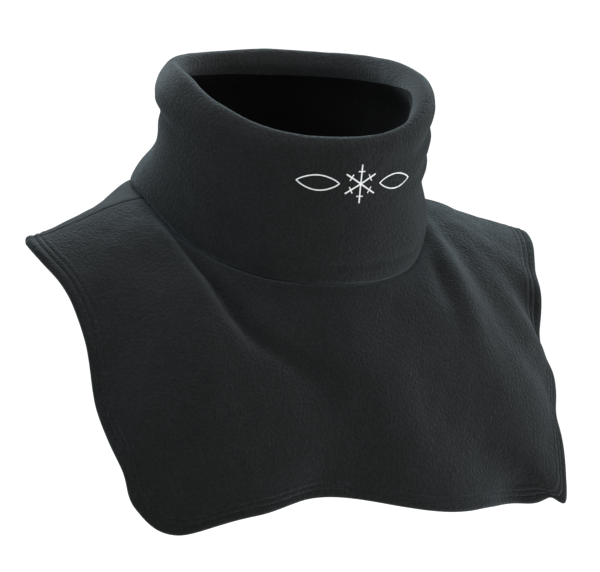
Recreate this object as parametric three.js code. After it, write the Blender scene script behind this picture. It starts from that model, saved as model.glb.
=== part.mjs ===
import * as THREE from "three";

// A turtleneck dickey in black fleece: a tall collar, folded double, on a front bib and a shorter back bib.
// It has the form that it keeps when worn. Lengths are millimetres.
// The origin is the middle of the neck opening, NECK_DROP above the front of the neck seam.
// +X is the wearer's left, -Y the wearer's front and +Z up.

// Cloth and sewing
const FLEECE = 2.6; // one layer of fleece
const SEAM_GAP = 1; // left free between two sewn pieces
const HEM_WIDTH = 9; // the turned edge of each bib
const SEAM_ALLOWANCE = 11; // the bibs run this far in under the collar

// Neck seam
const NECK_REACH = 96; // from the middle of the neck to the seam
const NECK_DROP = 35; // the front of the seam lies this far under the middle of the neck
const NECK_SHIFT = -5; // where the middle of the collar's foot sits along X

// Collar
const COLLAR_HEIGHT = 91; // seam to fold, at the front
const COLLAR_RADIUS = 89; // outside of the fold
const COLLAR_LEAN = 16; // the fold's middle lies this far in front of the neck's
const ROLL = 15; // thickness of the soft fold
const CREASE_DEPTH = 5; // the depth that the table of creases counts in

// Bibs
const SHOULDER_REACH = 179; // middle of the neck to the shoulder tip
const FRONT_REACH = 122; // middle of the neck to the front hem
const FRONT_DROP = 185; // the front corners hang this far down
const BACK_REACH = 112; // middle of the neck to the back hem
const BACK_DROP = 121; // the back hem hangs this far down
const SHOULDER_DROP = 9; // the left shoulder tip hangs this far lower than the middle, the right one higher
const FOLD_DEPTH = 10; // the depth that the table of folds counts in

// The neck seam on the wearer's left, mirrored to the right. Angles run from the front round to the back.
// reach is a share of NECK_REACH and height a share of NECK_DROP.
const NECK_SEAM = [
  { angle: 0, reach: 1.02, height: -1.0 },
  { angle: 30, reach: 1.0, height: -0.9 },
  { angle: 60, reach: 0.97, height: -0.48 },
  { angle: 90, reach: 0.97, height: 0.17 },
  { angle: 120, reach: 1.0, height: 0.37 },
  { angle: 150, reach: 0.97, height: 0.4 },
  { angle: 180, reach: 0.95, height: 0.37 },
];

// The collar at equal angles all the way round, from the wearer's front round by the left. stand is the
// share of COLLAR_HEIGHT that stands up. flare, waist and throat are shares of COLLAR_RADIUS that the cloth
// moves out at a seventh, at half and at three quarters of its height. roll is a share of ROLL, and reach
// the share of COLLAR_RADIUS at which the fold stands.
const COLLAR_SECTIONS = [
  { stand: 0.99, flare: 0.02, waist: 0.01, throat: 0.01, roll: 0.76, reach: 1.0 },
  { stand: 1.05, flare: 0.02, waist: -0.01, throat: 0.0, roll: 0.76, reach: 1.0 },
  { stand: 1.11, flare: 0.02, waist: -0.05, throat: 0.01, roll: 1.03, reach: 0.99 },
  { stand: 0.96, flare: 0.01, waist: -0.06, throat: -0.01, roll: 1.18, reach: 1.0 },
  { stand: 0.93, flare: 0.0, waist: -0.03, throat: -0.02, roll: 1.09, reach: 1.01 },
  { stand: 0.92, flare: 0.0, waist: -0.03, throat: 0.0, roll: 1.06, reach: 1.01 },
  { stand: 0.92, flare: -0.01, waist: -0.04, throat: 0.0, roll: 1.05, reach: 1.0 },
  { stand: 0.88, flare: -0.02, waist: -0.1, throat: -0.02, roll: 1.07, reach: 0.98 },
  { stand: 0.86, flare: -0.04, waist: -0.16, throat: -0.02, roll: 1.11, reach: 0.95 },
  { stand: 0.88, flare: -0.02, waist: -0.03, throat: 0.02, roll: 1.26, reach: 0.96 },
  { stand: 0.95, flare: 0.0, waist: 0.03, throat: 0.03, roll: 1.08, reach: 0.98 },
  { stand: 0.97, flare: 0.02, waist: 0.03, throat: 0.02, roll: 0.89, reach: 1.0 },
];

// Creases and swellings of the collar. angle is where each is deepest, high its place on the way up the
// outer layer, push how far the cloth moves out, as a share of CREASE_DEPTH, and wide and tall its reach in
// degrees and in share of the height.
const COLLAR_CREASES = [
  { angle: 245, high: 0.68, push: -0.12, wide: 42, tall: 0.04 },
  { angle: 245, high: 0.58, push: -0.7, wide: 38, tall: 0.05 },
  { angle: 66, high: 0.69, push: -0.88, wide: 26, tall: 0.05 },
  { angle: 66, high: 0.54, push: -0.54, wide: 22, tall: 0.04 },
  { angle: 66, high: 0.5, push: 0.6, wide: 22, tall: 0.04 },
  { angle: 150, high: 0.66, push: -0.6, wide: 45, tall: 0.07 },
  { angle: 10, high: 0.2, push: -0.24, wide: 40, tall: 0.04 },
];

// The bibs' outline and bulge on the wearer's left, mirrored to the right: one rib of cloth a row, from the
// front round to the back. Each rib leaves the neck seam at neck degrees, bends by way of two guide points,
// near and far, and ends on the hem. Each point is [across, along, down], as shares of SHOULDER_REACH, of
// FRONT_REACH or BACK_REACH, and of FRONT_DROP or BACK_DROP.
const RIBS = [
  { neck: 0, near: [0.0, 0.9, 0.42], far: [0.0, 1.03, 0.66], hem: [0.0, 1.03, 0.9] },
  { neck: 14, near: [0.18, 0.89, 0.42], far: [0.28, 1.01, 0.68], hem: [0.42, 1.0, 0.94] },
  { neck: 28, near: [0.37, 0.85, 0.39], far: [0.54, 0.98, 0.69], hem: [0.68, 0.9, 1.0] },
  { neck: 38, near: [0.47, 0.79, 0.32], far: [0.7, 0.93, 0.66], hem: [0.81, 0.84, 0.91] },
  { neck: 48, near: [0.55, 0.67, 0.23], far: [0.74, 0.8, 0.52], hem: [0.85, 0.81, 0.78] },
  { neck: 59, near: [0.6, 0.51, 0.15], far: [0.81, 0.61, 0.37], hem: [0.89, 0.62, 0.61] },
  { neck: 71, near: [0.64, 0.34, 0.07], far: [0.8, 0.42, 0.25], hem: [0.89, 0.48, 0.4] },
  { neck: 82, near: [0.66, 0.16, 0.03], far: [0.81, 0.24, 0.14], hem: [0.92, 0.33, 0.24] },
  { neck: 93, near: [0.67, -0.05, -0.01], far: [0.85, -0.01, 0.08], hem: [0.99, 0.03, 0.1] },
  { neck: 106, near: [0.64, 0.3, 0.04], far: [0.78, 0.34, 0.09], hem: [0.84, 0.34, 0.28] },
  { neck: 122, near: [0.54, 0.66, 0.0], far: [0.59, 0.72, 0.24], hem: [0.68, 0.64, 0.48] },
  { neck: 138, near: [0.42, 0.84, -0.02], far: [0.5, 0.93, 0.36], hem: [0.54, 0.85, 0.73] },
  { neck: 152, near: [0.28, 0.9, 0.04], far: [0.36, 1.02, 0.45], hem: [0.39, 0.94, 0.93] },
  { neck: 166, near: [0.14, 0.92, 0.05], far: [0.19, 1.05, 0.48], hem: [0.21, 0.98, 1.0] },
  { neck: 180, near: [0.0, 0.93, 0.05], far: [0.0, 1.06, 0.5], hem: [0.0, 0.99, 1.01] },
];
const SHOULDER_RIB = 8; // the rib along the shoulder seam

// Folds of the front bib, each along a path from the neck seam down to the hem. Every column holds four
// values, at the seam, at a third, at two thirds and at the hem: rib is the place of the fold, counted in
// ribs from the front centre and positive to the wearer's left; wide is its breadth in ribs; lift is how
// far the cloth moves out, and in where it is negative. rise is how far the hem is drawn up there. Lift and
// rise are shares of FOLD_DEPTH.
const FOLDS = [
  { name: "long valley", rib: [-5.6, -1.3, -0.4, -0.45], wide: [0.9, 0.5, 0.42, 0.4],
    lift: [-0.7, -0.5, -0.4, -0.55], rise: 0.52 },
  { name: "right breast", rib: [-4.5, -3.2, -1.9, -1.5], wide: [1.2, 1.2, 1.0, 0.9],
    lift: [0.0, 0.4, 0.4, 0.44], rise: 0.45 },
  { name: "right side", rib: [-6.2, -5.6, -5.0, -4.6], wide: [0.9, 0.8, 0.7, 0.6],
    lift: [0.3, -0.3, -0.3, -0.04], rise: -0.15 },
  { name: "middle swell", rib: [-0.8, 0.1, 0.5, 0.6], wide: [0.8, 0.8, 0.6, 0.5],
    lift: [0.0, 0.3, 0.5, 0.72], rise: -0.4 },
  { name: "neck hollow", rib: [4.6, 2.6, 1.9, 1.8], wide: [0.8, 0.7, 0.6, 0.5],
    lift: [-0.65, -0.15, -0.1, -0.77], rise: 0.52 },
  { name: "left ridge", rib: [5.7, 3.0, 2.5, 3.2], wide: [1.2, 0.95, 0.7, 0.35],
    lift: [0.3, 0.38, 0.4, 0.61], rise: -1.62 },
  { name: "left side", rib: [7.0, 5.0, 4.4, 4.4], wide: [0.9, 0.9, 0.6, 0.4],
    lift: [0.0, -0.35, -0.35, -0.34], rise: 0.5 },
  { name: "lower wave", rib: [5.0, 5.0, 5.0, 5.0], wide: [0.5, 0.5, 0.5, 0.35],
    lift: [0.0, 0.0, 0.2, 0.09], rise: 0.0 },
  { name: "middle wave", rib: [5.75, 5.75, 5.75, 5.75], wide: [0.5, 0.5, 0.5, 0.35],
    lift: [0.0, 0.0, -0.1, -0.41], rise: -0.12 },
  { name: "upper wave", rib: [6.5, 6.5, 6.5, 6.5], wide: [0.5, 0.5, 0.5, 0.35],
    lift: [0.0, 0.0, 0.1, 0.26], rise: 0.15 },
];
const SEAM_HOLD = 0.14; // share of a rib over which the neck seam holds the folds flat

// How finely the faceted solids are cut
const COLLAR_COLUMNS = 42;
const COLLAR_ROWS = 19;
const FACETS_PER_RIB = 4;
const FRONT_ROWS = 22;
const BACK_ROWS = 12;
const HEM_ROWS = 2;

const { degToRad, euclideanModulo, lerp, radToDeg, smoothstep } = THREE.MathUtils;
const RIBS_ROUND = 2 * (RIBS.length - 1);

// A closed curve through the given values, read at a place counted in values from the first.
function ringOf(points) {
  const curve = new THREE.CatmullRomCurve3(points, true, "catmullrom", 0.5);
  return (place) => curve.getPoint(euclideanModulo(place / points.length, 1));
}

// A half table with both its ends on the middle plane, repeated in mirror on the wearer's right.
function withMirror(half) {
  return [...half, ...half.slice(1, -1).reverse()];
}

const seamRing = ringOf(
  withMirror(NECK_SEAM).map((row) => new THREE.Vector3(row.reach * NECK_REACH, 0, row.height * NECK_DROP)),
);
const SEAM_STEP = NECK_SEAM[1].angle;

// The direction out from the middle of the neck. Angle 0 is the front, and 90 the wearer's left.
function outward(angle) {
  return new THREE.Vector3(Math.sin(degToRad(angle)), -Math.cos(degToRad(angle)), 0);
}

// The left shoulder hangs lower than the right one, and everything between them in proportion.
function tilted(point) {
  return point.setZ(point.z - (SHOULDER_DROP * point.x) / SHOULDER_REACH);
}

// A point on the neck seam, inset towards the middle of the neck and lowered.
function seamPoint(angle, inset = 0, lower = 0) {
  const { x: reach, z: height } = seamRing(angle / SEAM_STEP);
  const point = outward(angle).multiplyScalar(reach - inset).setZ(height - lower);
  point.x += NECK_SHIFT;
  return tilted(point);
}

// How steeply the neck seam climbs, as the factor that turns a gap square to it into one straight down.
function seamSteepness(angle) {
  const step = seamPoint(angle + 1).sub(seamPoint(angle - 1));
  return step.length() / Math.hypot(step.x, step.y);
}

const collarRing = (column) => ringOf(COLLAR_SECTIONS.map((row) => new THREE.Vector3(row[column], 0, 0)));
const collarShape = Object.fromEntries(
  ["stand", "flare", "waist", "throat", "roll", "reach"].map((column) => [column, collarRing(column)]),
);
const COLLAR_STEP = 360 / COLLAR_SECTIONS.length;

// The middle of the collar's cloth at one angle: up the outer layer, over the fold and down the inner layer.
// Points hold the distance out in x and the height in z.
function collarSection(angle) {
  const at = (column) => collarShape[column](angle / COLLAR_STEP).x;
  const { x: seam } = seamRing(angle / SEAM_STEP);
  const tall = at("stand") * COLLAR_HEIGHT;
  const roll = at("roll") * ROLL;
  const outside = COLLAR_RADIUS * at("reach") - FLEECE / 2;
  const inside = outside - roll + FLEECE;
  const foot = seam - FLEECE / 2;
  const innerFoot = seam - SEAM_ALLOWANCE + FLEECE;
  const out = (share, column) => lerp(foot, outside, share) + at(column) * COLLAR_RADIUS;
  const point = (distance, height) => new THREE.Vector3(distance, 0, height);
  return new THREE.CatmullRomCurve3(
    [
      point(foot, 0),
      point(out(0.1, "flare"), tall * 0.14),
      point(out(0.5, "waist"), tall * 0.45),
      point(out(0.85, "throat"), tall * 0.72),
      point(outside, tall - roll * 0.55),
      point((outside + inside) / 2, tall - FLEECE / 2),
      point(inside, tall - roll * 0.6),
      point(inside + roll * 0.22, tall - roll * 1.5),
      point(lerp(inside, innerFoot, 0.5) + at("waist") * COLLAR_RADIUS, tall * 0.4),
      point(innerFoot, 0),
    ],
    false,
    "centripetal",
  );
}

// Shortest way round between two angles, in degrees.
function turnBetween(a, b) {
  return euclideanModulo(a - b + 180, 360) - 180;
}

// How far the creases move the collar's outer layer. along runs from 0 at its foot to 1 at the inner
// layer's foot.
function collarCrease(angle, along) {
  const up = along / 0.52;
  return COLLAR_CREASES.reduce((sum, crease) => {
    const aside = turnBetween(angle, crease.angle) / crease.wide;
    const above = (up - crease.high) / crease.tall;
    return sum + crease.push * CREASE_DEPTH * Math.exp(-aside * aside - above * above);
  }, 0);
}

// The middle of the collar's cloth, in space.
function collarPoint(angle, along) {
  const { x: distance, z: height } = collarSection(angle).getPoint(along);
  const up = Math.max(0, height) / COLLAR_HEIGHT;
  return outward(angle)
    .multiplyScalar(distance + collarCrease(angle, along))
    .add(new THREE.Vector3(lerp(NECK_SHIFT, 0, up), -up * COLLAR_LEAN, height + seamPoint(angle).z));
}

// A rib's guide point in space, on the wearer's left.
function ribPoint([across, along, down], toBack) {
  return new THREE.Vector3(
    across * SHOULDER_REACH,
    toBack ? along * BACK_REACH : -along * FRONT_REACH,
    -down * (toBack ? BACK_DROP : FRONT_DROP),
  );
}

// Rings through the same guide point of every rib, all the way round the neck.
const ribRings = Object.fromEntries(
  ["near", "far", "hem"].map((column) => {
    const left = RIBS.map((rib, index) => ribPoint(rib[column], index > SHOULDER_RIB));
    const right = left.slice(1, -1).reverse().map(({ x, y, z }) => new THREE.Vector3(-x, y, z));
    return [column, ringOf([...left, ...right].map(tilted))];
  }),
);
const neckRing = ringOf(
  withMirror(RIBS).map((rib, index) => outward(index < RIBS.length ? rib.neck : -rib.neck)),
);

// The angle at which the rib at a place leaves the neck.
function neckAngle(place) {
  const { x, y } = neckRing(place);
  return radToDeg(Math.atan2(x, -y));
}

// The bibs' cloth without its folds. share is below zero under the collar, and runs from 0 at the seam to 1
// at the hem.
function smoothBib(place, share) {
  const angle = neckAngle(place);
  const under = (SEAM_GAP + FLEECE / 2) * seamSteepness(angle);
  const seam = seamPoint(angle, 0, under);
  if (share <= 0) return seamPoint(angle, -share * SEAM_ALLOWANCE, under);
  return new THREE.CubicBezierCurve3(
    seam,
    ribRings.near(place),
    ribRings.far(place),
    ribRings.hem(place),
  ).getPoint(share);
}

// The outward normal of a surface, from two small steps across it.
function normalOf(surface, place, share, stepPlace, stepShare) {
  const along = surface(place + stepPlace, share).sub(surface(place - stepPlace, share));
  const out = surface(place, share + stepShare).sub(surface(place, share - stepShare));
  return out.cross(along).normalize();
}

// The four values of a fold's column as a smooth run from the neck seam to the hem.
function runOf(values) {
  const stops = values.map((value) => new THREE.Vector3(value, 0, 0));
  const curve = new THREE.CatmullRomCurve3(stops, false, "catmullrom");
  return (share) => curve.getPoint(THREE.MathUtils.clamp(share, 0, 1)).x;
}

const foldRuns = FOLDS.map(({ rib, wide, lift, rise }) => ({
  rib: runOf(rib),
  wide: runOf(wide),
  lift: runOf(lift),
  rise,
}));

// How far the folds move the cloth at one place, out and up.
function foldMove(place, share) {
  const rib = turnBetween((place * 360) / RIBS_ROUND, 0) * (RIBS_ROUND / 360);
  const held = smoothstep(share, 0, SEAM_HOLD);
  let out = 0;
  let up = 0;
  for (const fold of foldRuns) {
    const aside = (rib - fold.rib(share)) / fold.wide(share);
    const strength = Math.exp(-aside * aside);
    out += fold.lift(share) * FOLD_DEPTH * strength * held;
    up += fold.rise * FOLD_DEPTH * strength * share * share * share;
  }
  return { out, up };
}

// The bibs' cloth with its folds.
function bibPoint(place, share) {
  const smooth = smoothBib(place, share);
  if (share <= 0) return smooth;
  const { out, up } = foldMove(place, share);
  const normal = normalOf(smoothBib, place, share, 0.02, 0.004);
  return smooth.addScaledVector(normal, out).add(new THREE.Vector3(0, 0, up));
}

// The share of a rib that its turned hem takes, so that the hem has the same width along the whole edge.
function hemShare(place) {
  const edge = bibPoint(place + 0.05, 1).sub(bibPoint(place - 0.05, 1));
  const out = bibPoint(place, 1).sub(bibPoint(place, 0.99));
  return (0.01 * HEM_WIDTH * edge.length()) / out.cross(edge).length();
}

// The share of a rib at each row of facets: one row under the collar, then the open cloth, then the hem.
function rowShare(row, rows, hem) {
  if (row === 0) return -1;
  const open = rows - HEM_ROWS - 1;
  if (row <= open + 1) return ((row - 1) / open) * (1 - hem);
  return 1 - hem + (hem * (row - open - 1)) / HEM_ROWS;
}

// One bib: a flat box of facets laid on the cloth between two ribs, with its inner face doubled along the
// hem.
function makeBib(name, firstRib, lastRib, rows, material) {
  const columns = Math.round((lastRib - firstRib) * FACETS_PER_RIB);
  const geometry = new THREE.BoxGeometry(1, 1, 1, columns, rows, 1);
  const position = geometry.attributes.position;
  for (let i = 0; i < position.count; i += 1) {
    const place = lerp(firstRib, lastRib, position.getX(i) + 0.5);
    const row = Math.round((0.5 - position.getY(i)) * rows);
    const face = Math.sign(position.getZ(i));
    const hem = hemShare(place);
    const share = rowShare(row, rows, hem);
    const doubled = face < 0 && row > rows - HEM_ROWS ? FLEECE : 0;
    const offset = face * (FLEECE / 2) - doubled;
    const normal = normalOf(bibPoint, place, Math.max(share, -0.5), 0.02, 0.004);
    const point = bibPoint(place, share).addScaledVector(normal, offset);
    position.setXYZ(i, point.x, point.y, point.z);
  }
  geometry.deleteAttribute("normal");
  geometry.computeVertexNormals();
  const bib = new THREE.Mesh(geometry, material);
  bib.name = name;
  return bib;
}

// The collar: a flat ring of facets turned round the neck, its cloth running up, over the fold and down
// inside.
function makeCollar(material) {
  const section = [];
  for (let row = 0; row <= COLLAR_ROWS; row += 1) section.push(new THREE.Vector2(2, row / COLLAR_ROWS));
  for (let row = COLLAR_ROWS; row >= 0; row -= 1) section.push(new THREE.Vector2(1, row / COLLAR_ROWS));
  section.push(section[0].clone());
  const geometry = new THREE.LatheGeometry(section, COLLAR_COLUMNS);
  const position = geometry.attributes.position;
  for (let i = 0; i < position.count; i += 1) {
    const distance = Math.hypot(position.getX(i), position.getZ(i));
    const angle = radToDeg(Math.atan2(position.getX(i), position.getZ(i)));
    const along = position.getY(i);
    const face = distance > 1.5 ? 1 : -1;
    const normal = normalOf(collarPoint, angle, Math.min(Math.max(along, 0.004), 0.996), 0.5, 0.004);
    const point = collarPoint(angle, along).addScaledVector(normal, (-face * FLEECE) / 2);
    if (along === 0 || along === 1) point.z = seamPoint(angle).z;
    position.setXYZ(i, point.x, point.y, point.z);
  }
  geometry.deleteAttribute("normal");
  geometry.computeVertexNormals();
  const collar = new THREE.Mesh(geometry, material);
  collar.name = "collar";
  return collar;
}

const COLLAR_BLACK = 0x1f2122;
const BIB_BLACK = 0x202323;
// Half the gap between the bibs at the shoulders, in ribs.
const SHOULDER_GAP = 0.01;
const fleece = (color) => new THREE.MeshStandardMaterial({ color, roughness: 0.95, metalness: 0 });

const dickey = new THREE.Group();
dickey.name = "turtleneck_dickey";
dickey.add(makeCollar(fleece(COLLAR_BLACK)));
const frontEdge = SHOULDER_RIB - SHOULDER_GAP;
dickey.add(makeBib("front_bib", -frontEdge, frontEdge, FRONT_ROWS, fleece(BIB_BLACK)));
const backEdge = SHOULDER_RIB + SHOULDER_GAP;
dickey.add(makeBib("back_bib", backEdge, RIBS_ROUND - backEdge, BACK_ROWS, fleece(BIB_BLACK)));

export default dickey;
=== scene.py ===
"""A turtleneck dickey in black fleece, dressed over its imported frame.

The collar and both bibs repeat the part's own cloth formulas at a finer step. The scene adds the turned
hems, the stitching, the embroidery and the nap of the fleece.
"""

import logging
import math
from dataclasses import dataclass, field
from enum import Enum
from typing import Callable, NamedTuple, Sequence

import bmesh
import bpy
import numpy as np
from mathutils import Matrix, Vector, noise

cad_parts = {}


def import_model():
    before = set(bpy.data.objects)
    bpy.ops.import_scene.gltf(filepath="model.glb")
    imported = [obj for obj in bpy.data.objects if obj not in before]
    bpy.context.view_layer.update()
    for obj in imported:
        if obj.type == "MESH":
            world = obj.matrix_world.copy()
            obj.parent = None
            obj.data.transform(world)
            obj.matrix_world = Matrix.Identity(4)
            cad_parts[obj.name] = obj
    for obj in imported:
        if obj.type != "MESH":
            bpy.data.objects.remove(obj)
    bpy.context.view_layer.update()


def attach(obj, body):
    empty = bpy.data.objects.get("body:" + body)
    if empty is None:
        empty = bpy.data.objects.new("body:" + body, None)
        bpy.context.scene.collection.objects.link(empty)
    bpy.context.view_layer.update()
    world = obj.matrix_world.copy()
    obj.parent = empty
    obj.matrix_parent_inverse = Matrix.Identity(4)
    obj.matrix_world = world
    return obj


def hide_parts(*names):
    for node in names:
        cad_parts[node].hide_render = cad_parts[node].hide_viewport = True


log = logging.getLogger("dickey")

Array = np.ndarray
Pair = tuple[float, float]
Triple = tuple[float, float, float]
Quad = tuple[float, float, float, float]
Piece = bpy.types.Object
Socket = bpy.types.NodeSocket
Surface = Callable[[Array, Array], Array]

MM = 0.001

# Cloth and sewing
FLEECE = 2.6 * MM  # one layer of the part's cloth
SEAM_GAP = 1.0 * MM  # left free in the part between two sewn pieces
SEAM_ALLOWANCE = 11.0 * MM  # the bibs run this far in under the collar

# Neck seam
NECK_REACH = 96.0 * MM
NECK_DROP = 35.0 * MM
NECK_SHIFT = -5.0 * MM

# Collar
COLLAR_HEIGHT = 91.0 * MM
COLLAR_RADIUS = 89.0 * MM
COLLAR_LEAN = 16.0 * MM
ROLL = 15.0 * MM
CREASE_DEPTH = 5.0 * MM

# Bibs
SHOULDER_REACH = 179.0 * MM
FRONT_REACH = 122.0 * MM
FRONT_DROP = 185.0 * MM
BACK_REACH = 112.0 * MM
BACK_DROP = 121.0 * MM
SHOULDER_DROP = 9.0 * MM
FOLD_DEPTH = 10.0 * MM


class SeamRow(NamedTuple):
    """A place on the neck seam: degrees from the front, then shares of NECK_REACH and NECK_DROP."""

    angle: float
    reach: float
    height: float


class CollarRow(NamedTuple):
    """The collar at one angle, as the part's own table gives it."""

    stand: float
    flare: float
    waist: float
    throat: float
    roll: float
    reach: float


class Crease(NamedTuple):
    """A crease of the collar: its angle, its height, its push in CREASE_DEPTHs and its reach both ways."""

    angle: float
    high: float
    push: float
    wide: float
    tall: float


class Rib(NamedTuple):
    """A rib of a bib's cloth: where it leaves the neck, its two guide points and its end on the hem."""

    neck: float
    near: Triple
    far: Triple
    hem: Triple


class Fold(NamedTuple):
    """A fold of the front bib, with four values a column: at the seam, at both thirds and at the hem.

    Its lift and its rise at the hem are counted in FOLD_DEPTHs.
    """

    name: str
    rib: Quad
    wide: Quad
    lift: Quad
    rise: float


NECK_SEAM = (
    SeamRow(0, 1.02, -1.0),
    SeamRow(30, 1.0, -0.9),
    SeamRow(60, 0.97, -0.48),
    SeamRow(90, 0.97, 0.17),
    SeamRow(120, 1.0, 0.37),
    SeamRow(150, 0.97, 0.4),
    SeamRow(180, 0.95, 0.37),
)

COLLAR_SECTIONS = (
    CollarRow(0.99, 0.02, 0.01, 0.01, 0.76, 1.0),
    CollarRow(1.05, 0.02, -0.01, 0.0, 0.76, 1.0),
    CollarRow(1.11, 0.02, -0.05, 0.01, 1.03, 0.99),
    CollarRow(0.96, 0.01, -0.06, -0.01, 1.18, 1.0),
    CollarRow(0.93, 0.0, -0.03, -0.02, 1.09, 1.01),
    CollarRow(0.92, 0.0, -0.03, 0.0, 1.06, 1.01),
    CollarRow(0.92, -0.01, -0.04, 0.0, 1.05, 1.0),
    CollarRow(0.88, -0.02, -0.1, -0.02, 1.07, 0.98),
    CollarRow(0.86, -0.04, -0.16, -0.02, 1.11, 0.95),
    CollarRow(0.88, -0.02, -0.03, 0.02, 1.26, 0.96),
    CollarRow(0.95, 0.0, 0.03, 0.03, 1.08, 0.98),
    CollarRow(0.97, 0.02, 0.03, 0.02, 0.89, 1.0),
)

COLLAR_CREASES = (
    Crease(245, 0.68, -0.12, 42, 0.04),
    Crease(245, 0.58, -0.7, 38, 0.05),
    Crease(66, 0.69, -0.88, 26, 0.05),
    Crease(66, 0.54, -0.54, 22, 0.04),
    Crease(66, 0.5, 0.6, 22, 0.04),
    Crease(150, 0.66, -0.6, 45, 0.07),
    Crease(10, 0.2, -0.24, 40, 0.04),
)

RIBS = (
    Rib(0, (0.0, 0.9, 0.42), (0.0, 1.03, 0.66), (0.0, 1.03, 0.9)),
    Rib(14, (0.18, 0.89, 0.42), (0.28, 1.01, 0.68), (0.42, 1.0, 0.94)),
    Rib(28, (0.37, 0.85, 0.39), (0.54, 0.98, 0.69), (0.68, 0.9, 1.0)),
    Rib(38, (0.47, 0.79, 0.32), (0.7, 0.93, 0.66), (0.81, 0.84, 0.91)),
    Rib(48, (0.55, 0.67, 0.23), (0.74, 0.8, 0.52), (0.85, 0.81, 0.78)),
    Rib(59, (0.6, 0.51, 0.15), (0.81, 0.61, 0.37), (0.89, 0.62, 0.61)),
    Rib(71, (0.64, 0.34, 0.07), (0.8, 0.42, 0.25), (0.89, 0.48, 0.4)),
    Rib(82, (0.66, 0.16, 0.03), (0.81, 0.24, 0.14), (0.92, 0.33, 0.24)),
    Rib(93, (0.67, -0.05, -0.01), (0.85, -0.01, 0.08), (0.99, 0.03, 0.1)),
    Rib(106, (0.64, 0.3, 0.04), (0.78, 0.34, 0.09), (0.84, 0.34, 0.28)),
    Rib(122, (0.54, 0.66, 0.0), (0.59, 0.72, 0.24), (0.68, 0.64, 0.48)),
    Rib(138, (0.42, 0.84, -0.02), (0.5, 0.93, 0.36), (0.54, 0.85, 0.73)),
    Rib(152, (0.28, 0.9, 0.04), (0.36, 1.02, 0.45), (0.39, 0.94, 0.93)),
    Rib(166, (0.14, 0.92, 0.05), (0.19, 1.05, 0.48), (0.21, 0.98, 1.0)),
    Rib(180, (0.0, 0.93, 0.05), (0.0, 1.06, 0.5), (0.0, 0.99, 1.01)),
)
SHOULDER_RIB = 8
RIBS_ROUND = 2 * (len(RIBS) - 1)
SHOULDER_GAP = 0.01  # half the gap between the bibs at the shoulders, in ribs

FOLDS = (
    Fold("long valley", (-5.6, -1.3, -0.4, -0.45), (0.9, 0.5, 0.42, 0.4), (-0.7, -0.5, -0.4, -0.55), 0.52),
    Fold("right breast", (-4.5, -3.2, -1.9, -1.5), (1.2, 1.2, 1.0, 0.9), (0.0, 0.4, 0.4, 0.44), 0.45),
    Fold("right side", (-6.2, -5.6, -5.0, -4.6), (0.9, 0.8, 0.7, 0.6), (0.3, -0.3, -0.3, -0.04), -0.15),
    Fold("middle swell", (-0.8, 0.1, 0.5, 0.6), (0.8, 0.8, 0.6, 0.5), (0.0, 0.3, 0.5, 0.72), -0.4),
    Fold("neck hollow", (4.6, 2.6, 1.9, 1.8), (0.8, 0.7, 0.6, 0.5), (-0.65, -0.15, -0.1, -0.77), 0.52),
    Fold("left ridge", (5.7, 3.0, 2.5, 3.2), (1.2, 0.95, 0.7, 0.35), (0.3, 0.38, 0.4, 0.61), -1.62),
    Fold("left side", (7.0, 5.0, 4.4, 4.4), (0.9, 0.9, 0.6, 0.4), (0.0, -0.35, -0.35, -0.34), 0.5),
    Fold("lower wave", (5.0, 5.0, 5.0, 5.0), (0.5, 0.5, 0.5, 0.35), (0.0, 0.0, 0.2, 0.09), 0.0),
    Fold("middle wave", (5.75, 5.75, 5.75, 5.75), (0.5, 0.5, 0.5, 0.35), (0.0, 0.0, -0.1, -0.41), -0.12),
    Fold("upper wave", (6.5, 6.5, 6.5, 6.5), (0.5, 0.5, 0.5, 0.35), (0.0, 0.0, 0.1, 0.26), 0.15),
)
SEAM_HOLD = 0.14  # share of a rib over which the neck seam holds the folds flat


# Curves


def closed_curve(points: Array, place: Array) -> Array:
    """Reads a closed Catmull-Rom curve.

    Args:
        points: its points, one a row.
        place: where to read it, counted in points from the first.

    Returns:
        The curve's points, one a row for each place.
    """
    count = len(points)
    start = np.floor(place).astype(int)
    t = (place - start)[..., None]
    before, here, there, after = (points[(start + step) % count] for step in (-1, 0, 1, 2))
    return hermite(here, there, (there - before) / 2, (after - here) / 2, t)


def open_curve(points: Array, place: Array) -> Array:
    """Reads an open Catmull-Rom curve, whose ends run on straight.

    Args:
        points: its points, one a row.
        place: where to read it, from 0 at its first point to 1 at its last.

    Returns:
        The curve's points, one a row for each place.
    """
    padded = np.concatenate([[2 * points[0] - points[1]], points, [2 * points[-1] - points[-2]]])
    along = np.clip(place, 0, 1) * (len(points) - 1)
    start = np.minimum(np.floor(along).astype(int), len(points) - 2)
    t = (along - start)[..., None]
    before, here, there, after = (padded[start + step] for step in (0, 1, 2, 3))
    return hermite(here, there, (there - before) / 2, (after - here) / 2, t)


def hermite(start: Array, end: Array, leave: Array, arrive: Array, t: Array) -> Array:
    """Runs from one point to the next with the given tangents.

    Args:
        start: the first points.
        end: the last points.
        leave: the tangents at the first points.
        arrive: the tangents at the last points.
        t: the share of the way.

    Returns:
        The points on the way.
    """
    rise = -3 * start + 3 * end - 2 * leave - arrive
    bend = 2 * start - 2 * end + leave + arrive
    return start + (leave + (rise + bend * t) * t) * t


def smooth_step(value: Array, low: float, high: float) -> Array:
    """Eases from 0 at low to 1 at high."""
    t = np.clip((value - low) / (high - low), 0, 1)
    return t * t * (3 - 2 * t)


def turn_between(a: Array, b: float) -> Array:
    """The shortest way round from b to a, in degrees."""
    return (a - b + 180) % 360 - 180


def outward(angle: Array) -> Array:
    """The direction out from the middle of the neck, at degrees from the front round by the left."""
    turn = np.radians(angle)
    return np.stack([np.sin(turn), -np.cos(turn), np.zeros_like(turn)], -1)


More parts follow.
